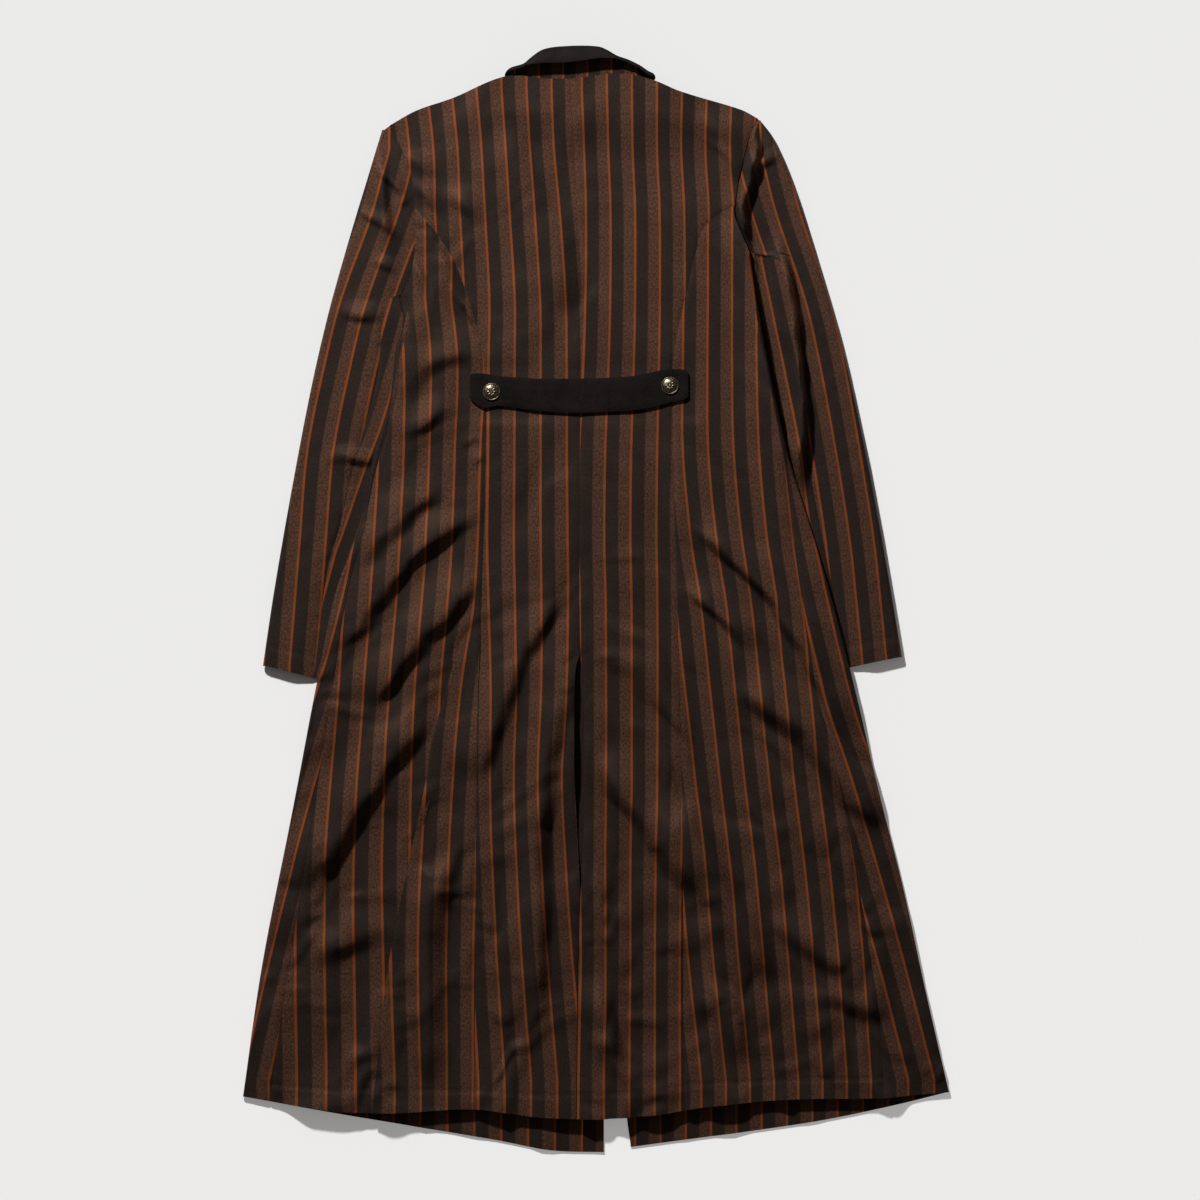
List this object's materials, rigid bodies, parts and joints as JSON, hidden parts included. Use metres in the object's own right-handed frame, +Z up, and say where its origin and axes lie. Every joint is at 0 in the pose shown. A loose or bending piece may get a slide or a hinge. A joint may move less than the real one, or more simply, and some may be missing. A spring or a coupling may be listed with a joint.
{
  "type": "hussar coat",
  "caption": "Long striped coat laid flat on its front: fitted back with a seam down the middle, half belt with metal buttons, vent, two-piece sleeves and a small turn-down collar.",
  "frame": {"origin": "on the surface that the coat lies on, in the middle of its outline", "axes": "+Y up the coat to its collar, +X to the right of the laid coat as seen from above, +Z up off the surface, out of the coat's back"},
  "size_m": [0.8114, 1.2704, 0.0279],
  "materials": {
    "striped_cloth": "matt woven wool and silk mix with dark brown, brown and thin rust stripes",
    "plain_wool": "matt dark brown wool",
    "button_metal": "worn stamped brass"
  },
  "bodies": {
    "root": {"left_back": "striped_cloth", "right_back": "striped_cloth", "left_side_back": "striped_cloth", "right_side_back": "striped_cloth", "left_front": "striped_cloth", "right_front": "striped_cloth", "left_top_sleeve": "striped_cloth", "right_top_sleeve": "striped_cloth", "left_under_sleeve": "striped_cloth", "right_under_sleeve": "striped_cloth", "vent_underlap": "striped_cloth", "collar_stand": "striped_cloth", "under_collar": "striped_cloth", "top_collar": "plain_wool", "half_belt": "plain_wool", "left_button": "button_metal", "right_button": "button_metal"}
  },
  "joints": []
}
